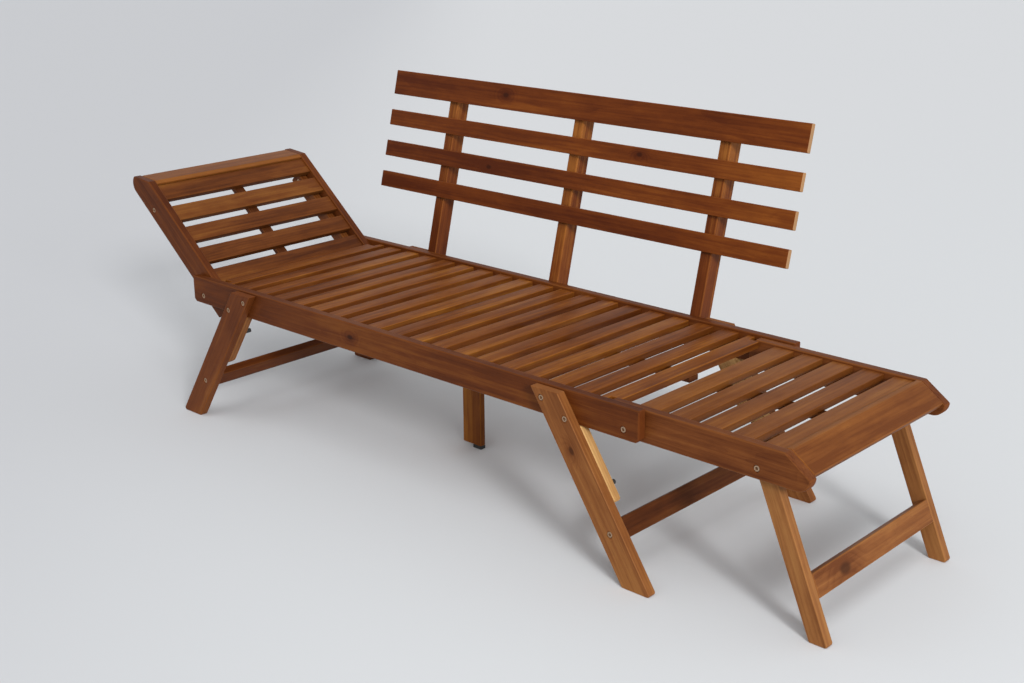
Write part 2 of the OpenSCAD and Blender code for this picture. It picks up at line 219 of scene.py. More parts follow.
# Where a scattered knot and the bent grain round it fade out, in cells of their pattern, and
# where those of a board's largest knot do, in its own radius
knot_fade = (0.03, 0.09)
halo_fade = (0.07, 0.34)
large_knot_fade = (0.45, 1.1)
large_halo_fade = (0.9, 3.6)

# Growth rings: how many per metre, how far the heart can lie from a board's middle, and by
# how many rings the lines sway and are bent by a knot
rings_per_metre = 150
heart_beside = 0.12
heart_below = 0.03
heart_depth = 0.07
ring_sway = 5.5
ring_bend = 2.2
ring_fade = (0.35, 1.0)

# Where the dark pores begin and end in their noise
pore_fade = (0.62, 0.74)

# The oiled surface: how high its fibres stand and how deep its pores and rings are, as parts
# of the relief's depth, and how dull it is with its fibres and its sawn ends
fibre_height = 0.6
pore_depth = 0.5
ring_depth = 0.2
relief_strength = 0.18
relief_depth = 0.6 * mm
dullness = 0.48
fibre_dullness = 0.12
end_dullness = 0.22
shine = 0.11


def oiled_hardwood(name, heart, body, sap, knots=0.8, ends=None, paler=None, even_at=(0, 0, 0)):
    """Oiled hardwood between three colours, with sawn ends of a colour of their own. The
    attribute grain holds each board's own lengths along, across and through it, board a
    chance value per board, and knot the place and radius of a board's largest knot. Faces
    marked side take painted shade, and faces marked edge grow lighter, partly as wear and
    partly as a painted highlight. Knots is the share of the pattern's cells that have no
    knot. Paler is how fast, per metre along each axis, the wood grows paler away from even_at."""
    material, w = finish_named(name)
    grain = w.attribute("grain", "Vector")
    board = w.attribute("board", "Vector")
    large_knot = w.attribute("knot", "Vector")
    end = w.attribute("end")
    edge = w.attribute("edge")
    side = w.attribute("side")
    boards_apart = (9, 9, 9)
    place = w.vector("MULTIPLY_ADD", board, boards_apart, grain)
    along = w.parts(grain)
    odds = w.parts(board)

    def noise(lengths, detail, rough=0.5):
        stretched = w.vector("MULTIPLY", place, lengths)
        sockets = {"Vector": stretched, "Scale": 1.0, "Detail": detail, "Roughness": rough}
        return w.add("ShaderNodeTexNoise", None, sockets)

    # Knots: dark ovals right through a board, with the grain flowing round them
    cells_per_metre = (6, 14, 0)
    knot_place = w.vector("MULTIPLY", place, cells_per_metre)
    knot_cell = w.add("ShaderNodeTexVoronoi", None, {"Vector": knot_place, "Scale": 1.0})
    knot_odds = w.parts(knot_cell.output("Color"))
    onset = 0.02
    has_knot = w.smooth(knot_odds, knots, knots + onset)
    knot = has_knot * (1 - w.smooth(knot_cell, *knot_fade))
    halo = has_knot * (1 - w.smooth(knot_cell, *halo_fade))
    centre = w.parts(large_knot)
    stretch = 0.6
    smallest = 0.01 * mm
    knot_x = (along - centre) * stretch
    knot_y = along.output("Y") - centre.output("Y")
    from_knot = (knot_x * knot_x + knot_y * knot_y).maths("SQRT")
    from_knot = from_knot.maths("DIVIDE", centre.output("Z") + smallest)
    knot = knot.maths("MAXIMUM", 1 - w.smooth(from_knot, *large_knot_fade))
    halo = halo.maths("MAXIMUM", 1 - w.smooth(from_knot, *large_halo_fade))

    # Growth rings round a heart that lies beside each board
    heart_y = along.output("Y") + (odds.output("Y") - 0.5) * heart_beside
    heart_z = along.output("Z") + heart_below + odds.output("Z") * heart_depth
    from_heart = (heart_y * heart_y + heart_z * heart_z).maths("SQRT")
    sway = noise((1.7, 8, 8), 2.0)
    rings = from_heart * rings_per_metre + sway * ring_sway + halo * ring_bend
    ring_line = w.smooth(rings.maths("FRACT"), *ring_fade)

    # Noise with its cells per metre along, across and through the board
    patches = noise((2.1, 13, 13), 2.0)
    blotches = noise((14, 45, 45), 3.0, 0.6)
    streaks = noise((1.5, 60, 60), 3.0, 0.6)
    threads = noise((4, 190, 190), 2.0, 0.6)
    fibres = noise((22, 800, 800), 2.0)
    pores = w.smooth(noise((60, 1500, 1500), 1.0), *pore_fade)

    tone = (patches - 0.5) * patch_shift + (streaks - 0.5) * streak_shift
    tone = tone + (odds - 0.5) * board_shift + middle_tone
    tone = tone - ring_line * ring_shift + (threads - 0.5) * thread_shift
    tone = tone + (fibres - 0.5) * fibre_shift + (blotches - 0.5) * blotch_shift
    tone = tone - halo * halo_shift
    if paler:
        spot = w.add("ShaderNodeTexCoord", None, None, out="Object")
        away = w.vector("SUBTRACT", spot, even_at)
        tone = tone + w.vector("DOT_PRODUCT", away, paler).output("Value")
    stops = [(heart_tone, heart), (middle_tone, body), (sap_tone, sap)]
    colour = w.add("ShaderNodeValToRGB", {"stops": stops}, {0: tone})
    colour = w.mix(pores * pore_share, colour, scaled(heart, pore_dark))
    colour = w.mix(knot * knot_share, colour, scaled(heart, knot_dark))
    colour = w.mix(end * end_share, colour, ends or scaled(body, end_light))
    # Painted shade: narrow faces marked side are darkened, as if shaded by the neighbouring boards
    colour = w.mix(side * gap_shade_share, colour, scaled(heart, gap_shade_dark))
    # Eased edges marked edge are lightened, partly as wear and partly as a painted highlight
    colour = w.mix(edge * edge_share, colour, scaled(sap, edge_light))

    height = fibres * fibre_height - pores * pore_depth - ring_line * ring_depth
    relief = w.add("ShaderNodeBump", None,
                   {"Strength": relief_strength, "Distance": relief_depth, "Height": height})
    roughness = dullness + (fibres - 0.5) * fibre_dullness + end * end_dullness
    close_finish(w, {"Base Color": colour, "Roughness": roughness, "Normal": relief,
                     "Specular IOR Level": shine})
    return material


same_point = 0.002 * mm
flat_within = math.radians(0.4)


def solids_of(node):
    """One mesh for each solid of a CAD node, with its triangles joined into flat faces."""
    whole = bmesh.new()
    whole.from_mesh(frame["nodes"][node].data)
    bmesh.ops.remove_doubles(whole, verts=whole.verts, dist=same_point)
    solid_of = {}
    for start in whole.verts:
        if start in solid_of:
            continue
        number = len(set(solid_of.values()))
        reached = [start]
        while reached:
            vert = reached.pop()
            if vert not in solid_of:
                solid_of[vert] = number
                reached.extend(edge.other_vert(vert) for edge in vert.link_edges)
    order = [solid_of[vert] for vert in whole.verts]
    solids = []
    for number in range(max(order) + 1):
        solid = whole.copy()
        others = [vert for vert, owner in zip(solid.verts, order) if owner != number]
        bmesh.ops.delete(solid, geom=others, context="VERTS")
        bmesh.ops.dissolve_limit(solid, angle_limit=flat_within, verts=solid.verts,
                                 edges=solid.edges)
        solids.append(solid)
    whole.free()
    return solids


def box_of(solid):
    """The lowest and highest corners of a solid."""
    low = Vector(min(vert.co[i] for vert in solid.verts) for i in range(3))
    high = Vector(max(vert.co[i] for vert in solid.verts) for i in range(3))
    return low, high


# Every hole in the boards runs along Y, round a bolt or a pin
bolt_nodes = ["frame_bolts", "post_bolts", "pivot_bolts",
              "left_folding_leg_bolts", "right_folding_leg_bolts"]
bolt_boxes = {node: [box_of(solid) for solid in solids_of(node)] for node in bolt_nodes}
pin_boxes = [box_of(solid) for solid in solids_of("stop_pins")]
hole_places = [(low + high) / 2 for boxes in bolt_boxes.values() for low, high in boxes]
hole_places += [(low + high) / 2 for low, high in pin_boxes]
hole_reach = 7.6 * mm


def beside_hole(vert):
    """Whether a corner lies on the rim or wall of a hole, whose edges stay sharp."""
    return any(math.hypot(vert.co.x - hole.x, vert.co.z - hole.z) < hole_reach
               for hole in hole_places)


def lay_of(solid):
    """The directions along, across and through a board: its longest edge and its widest face."""
    longest = max(solid.edges, key=lambda edge: edge.calc_length())
    along = (longest.verts[1].co - longest.verts[0].co).normalized()
    widest = max(solid.faces, key=lambda face: face.calc_area())
    through = (widest.normal - widest.normal.dot(along) * along).normalized()
    return along, through.cross(along), through


# How squarely a face looks along its board when it is an end, how little when it is not, and
# how squarely it looks across or through when it is a narrow face in painted shade or not a
# worn, highlit edge
end_look = 0.7
off_end_look = 0.3
narrow_look = 0.9
flat_look = 0.97


def mark_grain(mesh, along, across, through, large_knot, shaded_sides):
    """Writes a board's own lengths, its chance value, its largest knot, its end grain, its
    eased edges, lightened partly by wear and partly as a painted highlight, and its narrow
    faces, which can take painted shade, as attributes."""
    lowest = [min(vert.co.dot(way) for vert in mesh.vertices) for way in (along, across, through)]
    highest = [max(vert.co.dot(way) for vert in mesh.vertices) for way in (along, across, through)]
    middle = [(low + high) / 2 for low, high in zip(lowest, highest)]
    odds = Vector((chance.random(), chance.random(), chance.random()))
    grain = mesh.attributes.new("grain", "FLOAT_VECTOR", "POINT")
    board = mesh.attributes.new("board", "FLOAT_VECTOR", "POINT")
    knot = mesh.attributes.new("knot", "FLOAT_VECTOR", "POINT")
    for vert in mesh.vertices:
        grain.data[vert.index].vector = [vert.co.dot(way) - place for way, place
                                         in zip((along, across, through), middle)]
        board.data[vert.index].vector = odds
        knot.data[vert.index].vector = large_knot
    end = mesh.attributes.new("end", "FLOAT", "FACE")
    edge = mesh.attributes.new("edge", "FLOAT", "FACE")
    side = mesh.attributes.new("side", "FLOAT", "FACE")
    for face in mesh.polygons:
        facing = [abs(face.normal.dot(way)) for way in (along, across, through)]
        # Eased edges get lighter partly by wear and partly as a painted highlight, and narrow
        # faces get painted shade
        is_worn_and_highlit = facing[0] < off_end_look and max(facing) < flat_look
        in_gap_shade = shaded_sides and facing[1] > narrow_look
        end.data[face.index].value = 1.0 if facing[0] > end_look else 0.0
        edge.data[face.index].value = 1.0 if is_worn_and_highlit else 0.0
        side.data[face.index].value = 1.0 if in_gap_shade else 0.0


def finished(mesh_object):
    """The object's mesh with its modifiers applied, as a new object at the origin."""
    evaluated = mesh_object.evaluated_get(bpy.context.evaluated_depsgraph_get())
    mesh = bpy.data.meshes.new_from_object(evaluated)
    name = mesh_object.name
    bpy.data.objects.remove(mesh_object)
    piece = bpy.data.objects.new(name, mesh)
    bpy.context.scene.collection.objects.link(piece)
    return piece


near_floor = 1 * mm
toe_angle = math.radians(100)
nearly_parallel = 0.99
toe_steps = 6
round_profile = 0.5


def round_toe(solid, through, cut):
    """Rounds the sharp corner where a leaning leg's outer edge meets the floor."""
    floor_line = min(vert.co.z for vert in solid.verts) + near_floor
    toe = []
    for edge in solid.edges:
        line = (edge.verts[1].co - edge.verts[0].co).normalized()
        at_floor = max(vert.co.z for vert in edge.verts) < floor_line
        is_sharp = edge.calc_face_angle(0) > toe_angle
        if at_floor and is_sharp and abs(line.dot(through)) > nearly_parallel:
            toe.append(edge)
    bmesh.ops.bevel(solid, geom=toe, offset=cut, offset_type="OFFSET", segments=toe_steps,
                    profile=round_profile, affect="EDGES", clamp_overlap=True)


usual_arris = 2.2 * mm
corner_angle = math.radians(25)
smooth_angle = math.radians(40)
no_knot = (0, 0, 0)


def eased_boards(node, material, arris=usual_arris, steps=3, large_knot=no_knot,
                 toe_cut=0.0, right_material=None, shaded_sides=False):
    """Makes each solid of a CAD node a board with eased edges, on the node's own body. The
    boards of the bench's right half can have a wood of their own, and a board's narrow faces
    can take painted shade. The large knot is given by its place along and across the board, and
    its radius."""
    solids = solids_of(node)
    for number, solid in enumerate(solids, 1):
        lay = lay_of(solid)
        finish = right_material if right_material and box_of(solid)[0].x > 0 else material
        if toe_cut:
            round_toe(solid, lay[2], toe_cut)
        sharp = [edge for edge in solid.edges
                 if len(edge.link_faces) == 2 and edge.calc_face_angle() > corner_angle
                 and not (beside_hole(edge.verts[0]) and beside_hole(edge.verts[1]))]
        bmesh.ops.bevel(solid, geom=sharp, offset=arris, offset_type="OFFSET", segments=steps,
                        profile=round_profile, affect="EDGES", clamp_overlap=True)
        name = node + "_board" if len(solids) == 1 else f"{node}_board_{number}"
        mesh = bpy.data.meshes.new(name)
        solid.to_mesh(mesh)
        solid.free()
        mesh.shade_smooth()
        mesh.set_sharp_from_angle(angle=smooth_angle)
        rough = bpy.data.objects.new(name, mesh)
        bpy.context.scene.collection.objects.link(rough)
        weighted = rough.modifiers.new("even_light", "WEIGHTED_NORMAL")
        weighted.keep_sharp = True
        piece = finished(rough)
        mark_grain(piece.data, *lay, large_knot, shaded_sides)
        piece.data.materials.append(finish)
        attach(piece, frame["nodes"][node]["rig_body"])
        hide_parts(node)


rail_wood = oiled_hardwood("rail_hardwood", (0.058, 0.0124, 0.0023), (0.112, 0.0273, 0.0045),
                           (0.185, 0.0565, 0.0095))
rail_arris = 2.6 * mm
rail_knot = (0.107, 0, 6.5 * mm)
for rail in ("front_rail", "back_rail"):
    eased_boards(rail, rail_wood, arris=rail_arris, large_knot=rail_knot)

# Splayed legs: wide boards bolted to the rails' outer faces, cut level at the top and the foot.
# Behind each leg a shorter board of paler wood fills the space below the rail.
# A stretcher ties the front leg to the back one at each end of the bench.

leg_wood = oiled_hardwood("leg_hardwood", (0.129, 0.0375, 0.0089), (0.224, 0.0787, 0.0210),
                          (0.328, 0.1385, 0.0387), knots=0.9)
red_wood = oiled_hardwood("red_hardwood", (0.087, 0.0199, 0.0040), (0.147, 0.0398, 0.0080),
                          (0.230, 0.0778, 0.0146), knots=0.9)
honey_wood = oiled_hardwood("honey_hardwood", (0.157, 0.0499, 0.0132), (0.270, 0.1065, 0.0311),
                            (0.368, 0.1690, 0.0505), knots=0.9)
block_wood = oiled_hardwood("block_sapwood", (0.345, 0.163, 0.0530), (0.560, 0.315, 0.1180),
                            (0.700, 0.450, 0.1720))
shade_wood = oiled_hardwood("stretcher_hardwood", (0.040, 0.0101, 0.0027),
                            (0.084, 0.0226, 0.0053), (0.146, 0.0468, 0.0100))
leg_knots = {"front_left": no_knot, "front_right": (-0.078, 0, 6.5 * mm),
             "back_left": (-0.060, -0.010, 5 * mm), "back_right": no_knot}
leg_arris = 3.2 * mm
leg_toe = 11 * mm
block_arris = 2.6 * mm
for corner, leg_knot in leg_knots.items():
    eased_boards(corner + "_leg", red_wood, arris=leg_arris, steps=4,
                 large_knot=leg_knot, toe_cut=leg_toe, right_material=leg_wood)
eased_boards("leg_blocks", honey_wood, arris=block_arris,
             right_material=block_wood)
for end_name, stretcher_wood in (("left", rail_wood), ("right", shade_wood)):
    eased_boards(end_name + "_stretcher", stretcher_wood)

# Centre leg: a board of the seat boards' wood, fixed behind the seat's batten, that carries the
# middle of the long span. A pad of black rubber under its corner keeps it off wet ground.

slat_wood = oiled_hardwood("slat_hardwood", (0.088, 0.0208, 0.0035), (0.188, 0.0530, 0.0068),
                           (0.335, 0.1240, 0.0165))
eased_boards("centre_leg", slat_wood)

deep_rubber = (0.012, 0.012, 0.012)
worn_rubber = (0.035, 0.034, 0.032)
rubber, r = finish_named("black_rubber")
speckle = r.add("ShaderNodeTexNoise", None, {"Scale": 900.0, "Detail": 2.0})
rubber_tone = r.mix(speckle, deep_rubber, worn_rubber)
rubber_relief = r.add("ShaderNodeBump", None,
                      {"Strength": 0.2, "Distance": 0.3 * mm, "Height": speckle})
close_finish(r, {"Base Color": rubber_tone, "Roughness": 0.7, "Normal": rubber_relief})
pad_arris = 1.2 * mm
eased_boards("centre_leg_pad", rubber, arris=pad_arris)

# Seat boards: a row of like boards across the rails, set a little below the rails' top edges.
# The two end boards are notched for the panels' side rails, so they are cut one by one.
# A batten along the middle ties all of them from below.

# How much of a single board's edge lightening, partly wear and partly painted highlight, the
# boards of a row have
row_wear_and_highlight = 0.4
arris_points = 3
z_to_y = (math.radians(90), 0, 0)


def row_of_boards():
    """A row of like boards with eased long edges, made from named sizes. A board is drawn
    along Y at the origin, then set in its row, tilted about Y."""
    tree = bpy.data.node_groups.new("row_of_boards", "GeometryNodeTree")
    g = Nodes(tree)
    for name, kind in (("Length", "Float"), ("Width", "Float"), ("Thickness", "Float"),
                       ("Arris", "Float"), ("Boards", "Int"), ("First", "Vector"),
                       ("Step", "Vector"), ("Tilt", "Float"), ("Seed", "Int"),
                       ("Wood", "Material")):
        tree.interface.new_socket(name, in_out="INPUT", socket_type="NodeSocket" + kind)
    tree.interface.new_socket("Boards", in_out="OUTPUT", socket_type="NodeSocketGeometry")
    given = g.add("NodeGroupInput")
    section = g.add("GeometryNodeCurvePrimitiveQuadrilateral", {"mode": "RECTANGLE"},
                    {0: given.output("Width"), 1: given.output("Thickness")})
    eased = g.add("GeometryNodeFilletCurve", {"mode": "POLY"},
                  {"Curve": section, "Count": arris_points, "Radius": given.output("Arris")})
    half = given.output("Length") * 0.5
    low = g.joined(z=half * -1.0)
    high = g.joined(z=half)
    line = g.add("GeometryNodeCurvePrimitiveLine", None, {"Start": low, "End": high})
    board = g.add("GeometryNodeCurveToMesh", None,
                  {"Curve": line, "Profile Curve": eased, "Fill Caps": True})
    board = g.add("GeometryNodeTransform", None, {"Geometry": board, "Rotation": z_to_y})
    place = g.parts(g.add("GeometryNodeInputPosition"))
    lengths = g.joined(place.output("Y"), place.output("X"), place.output("Z"))
    board = g.store(board, "grain", lengths, "FLOAT_VECTOR", "POINT")
    facing = g.parts(g.add("GeometryNodeInputNormal"))
    at_end = facing.output("Y").maths("ABSOLUTE").maths("GREATER_THAN", end_look)
    board = g.store(board, "end", at_end)
    widest = facing.maths("ABSOLUTE").maths("MAXIMUM", facing.output("Z").maths("ABSOLUTE"))
    # Eased edges, lightened partly as wear and partly as a painted highlight
    at_arris = (1 - at_end) * widest.maths("LESS_THAN", flat_look) * row_wear_and_highlight
    board = g.store(board, "edge", at_arris)
    # Narrow faces, which the material darkens as painted shade between the boards
    side_in_shade = facing.maths("ABSOLUTE").maths("GREATER_THAN", narrow_look)
    board = g.store(board, "side", side_in_shade)
    row = g.add("GeometryNodeMeshLine", {"mode": "OFFSET"},
                {"Count": given.output("Boards"), "Start Location": given.output("First"),
                 "Offset": given.output("Step")})
    turn = g.joined(y=given.output("Tilt"))
    boards = g.add("GeometryNodeInstanceOnPoints", None,
                   {"Points": row, "Instance": board, "Rotation": turn})
    odds = g.add("FunctionNodeRandomValue", {"data_type": "FLOAT_VECTOR"},
                 {"Seed": given.output("Seed")})
    boards = g.store(boards, "board", odds, "FLOAT_VECTOR", "INSTANCE")
    boards = g.add("GeometryNodeRealizeInstances", None, {"Geometry": boards})
    boards = g.add("GeometryNodeSetMaterial", None,
                   {"Geometry": boards, "Material": given.output("Wood")})
    g.add("NodeGroupOutput", None, {0: boards})
    return tree


def made_by(tree, name, sizes, points=None):
    """The mesh that a tree makes from named sizes, as a plain object at the origin."""
    holder = bpy.data.objects.new(name, points or bpy.data.meshes.new(name))
    bpy.context.scene.collection.objects.link(holder)
    modifier = holder.modifiers.new(tree.name, "NODES")
    modifier.node_group = tree
    for item in tree.interface.items_tree:
        if item.in_out == "INPUT" and item.name in sizes:
            modifier[item.identifier] = sizes[item.name]
    return finished(holder)


board_row = row_of_boards()
seat_nodes = sorted(name for name in frame["nodes"] if name.startswith("seat_slat_"))
whole_nodes = seat_nodes[1:-1]
first_low, first_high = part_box(whole_nodes[0])
last_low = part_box(whole_nodes[-1])[0]
slat_size = first_high - first_low
slat_arris = 1.3 * mm
seat_seed = 5
seat_row = made_by(board_row, "seat_boards", {
    "Length": slat_size.y, "Width": slat_size.x, "Thickness": slat_size.z, "Arris": slat_arris,
    "Boards": len(whole_nodes), "First": (first_low + first_high) / 2,
    "Step": (last_low - first_low) / (len(whole_nodes) - 1), "Tilt": 0.0, "Seed": seat_seed,
    "Wood": slat_wood})
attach(seat_row, "frame")
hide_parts(*whole_nodes)
# The two end boards take painted shade on their narrow faces, like the row's boards
for slat in (seat_nodes[0], seat_nodes[-1]):
    eased_boards(slat, slat_wood, arris=slat_arris, shaded_sides=True)
batten_arris = 1.5 * mm
eased_boards("seat_batten", shade_wood, arris=batten_arris)

# Backrest: three bent posts bolted behind the back rail, and four long boards on their fronts.
# The boards are planed thin, with crisp ends that are freshly sawn and pale. The posts grow
# paler towards their tops, and the boards grow paler towards their right ends, which is
# painted light from the lamps' side.

post_wood = oiled_hardwood("post_hardwood", (0.077, 0.0152, 0.0028), (0.153, 0.0366, 0.0060),
                           (0.325, 0.1140, 0.0200), paler=(0, 0, 1.1), even_at=(0, 0, 0.46))
# Paler paints the backrest boards lighter towards their right ends: painted light from the lamps'
# side
back_wood = oiled_hardwood("backrest_hardwood", (0.082, 0.0152, 0.0023), (0.148, 0.0335, 0.0045),
                           (0.250, 0.0708, 0.0096), knots=0.85,
                           ends=(0.480, 0.290, 0.1450), paler=(0.27, 0, 0))
back_knots = {"top": (-0.225, 0.004, 7 * mm), "upper": (0.195, 0.004, 6 * mm),
              "lower": (-0.245, -0.003, 6 * mm), "bottom": no_knot}
post_arris = 2.4 * mm
back_arris = 1.8 * mm
for post in ("left_post", "centre_post", "right_post"):
    eased_boards(post, post_wood, arris=post_arris)
for row_name, back_knot in back_knots.items():
    eased_boards("back_slat_" + row_name, back_wood, arris=back_arris,
                 large_knot=back_knot)

# End panels: two side rails with a rounded inner end and a sloped nose, five boards let in
# between them, a batten below and a wide board that closes the outer end along the slope.

side_wood = oiled_hardwood("panel_side_hardwood", (0.089, 0.0216, 0.0045),
                           (0.160, 0.0467, 0.0104), (0.258, 0.0932, 0.0209))
end_wood = oiled_hardwood("end_board_hardwood", (0.131, 0.0362, 0.0064),
                          (0.207, 0.0668, 0.0128), (0.289, 0.1113, 0.0222), knots=0.95)
panel_wood = oiled_hardwood("panel_hardwood", (0.062, 0.0152, 0.0033), (0.131, 0.0368, 0.0070),
                            (0.215, 0.0775, 0.0152))
end_board_arris = 2.4 * mm
for end_name, side_finish in (("left", rail_wood), ("right", side_wood)):
    for part in ("panel_front_rail", "panel_back_rail"):
        eased_boards(f"{end_name}_{part}", side_finish, arris=rail_arris)
    eased_boards(end_name + "_panel_end_board", end_wood, arris=end_board_arris)
    eased_boards(end_name + "_panel_batten", shade_wood, arris=batten_arris)

# The right panel lies flat, so its boards give the row; the left one is the same row,
# mirrored about its own pivot and raised by the hinge's travel
flat_boxes = sorted((box_of(solid) for solid in solids_of("right_panel_slats")),
                    key=lambda box: box[0].x)
panel_slat = flat_boxes[0][1] - flat_boxes[0][0]
hinges = {joint["name"]: joint for joint in frame["joints"]}
right_pivot = Vector(hinges["right_panel_hinge"]["pos_m"])
left_pivot = Vector(hinges["left_panel_hinge"]["pos_m"])
raised = math.radians(-hinges["left_panel_hinge"]["range_deg"][0])
offsets = [(low + high) / 2 - right_pivot for low, high in flat_boxes]
panel_seed = 8
for end_name, pivot, out, tilt, wood in (("right", right_pivot, 1, 0.0, end_wood),
                                         ("left", left_pivot, -1, raised, panel_wood)):
    turn = Matrix.Rotation(tilt, 3, "Y")
    spots = [pivot + turn @ Vector((out * spot.x, spot.y, spot.z)) for spot in offsets]
    panel_row = made_by(board_row, end_name + "_panel_boards", {
        "Length": panel_slat.y, "Width": panel_slat.x, "Thickness": panel_slat.z,
        "Arris": slat_arris, "Boards": len(spots), "First": spots[0],
        "Step": spots[1] - spots[0], "Tilt": tilt, "Seed": panel_seed + out, "Wood": wood})
    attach(panel_row, end_name + "_panel")
    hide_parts(end_name + "_panel_slats")

# Folding leg frames: two narrow legs and a stretcher on each, of lighter wood than the rails
# of their panel. Each turns on two bolts in its panel and folds up under it. The left frame's
# legs take a darker wood than the right's, which is painted shade. The right frame, which
# stands on the floor, has its toes rounded.

folding_arris = 3.0 * mm
folding_toe = 8 * mm
folding_knot = (-0.108, 0.002, 13 * mm)
# The left legs' darker wood is painted shade
for end_name, folding_finish, toe_cut in (("left", side_wood, 0.0),
                                          ("right", honey_wood, folding_toe)):
    for part in ("front_leg", "back_leg"):
        eased_boards(f"{end_name}_folding_{part}", folding_finish,
                     arris=folding_arris, toe_cut=toe_cut)
    eased_boards(end_name + "_folding_stretcher", leg_wood,
                 large_knot=folding_knot)

# Bolts: zinc-plated furniture bolts that run from front to back, with round flat heads and,
# except in the stretchers, sleeve nuts. Heads and nuts have a six-sided socket and are sunk
# just below the wood's face. The sockets are coloured dark brown and dull as painted shade.

dull_zinc = (0.38, 0.25, 0.16)
bright_zinc = (0.60, 0.43, 0.29)
socket_painted_shade = (0.190, 0.095, 0.045)
zinc, z = finish_named("yellow_zinc")
in_socket = z.attribute("socket")
scuffs = z.add("ShaderNodeTexNoise", None, {"Scale": 1400.0, "Detail": 3.0})
zinc_tone = z.mix(scuffs, dull_zinc, bright_zinc)
# Painted shade: the sockets' faces are dark and dull
zinc_tone = z.mix(in_socket, zinc_tone, socket_painted_shade)
close_finish(z, {"Base Color": zinc_tone, "Metallic": 1 - in_socket * 0.9,
                 "Roughness": 0.36 + scuffs * 0.18 + in_socket * 0.3})


head_thickness = 3.5 * mm
head_rim = 1.3 * mm
head_sides = 28
socket_radius = 3.4 * mm
socket_depth = 2.4 * mm
socket_sides = 6
shank_radius = 3.9 * mm
shank_sides = 16

# How far the shank starts inside a head, as a part of its thickness, and how far from its
# axis and below its rim a head's faces count as its socket, in the socket's and rim's sizes
shank_start = 0.8
socket_reach = 1.05
socket_below = -0.1


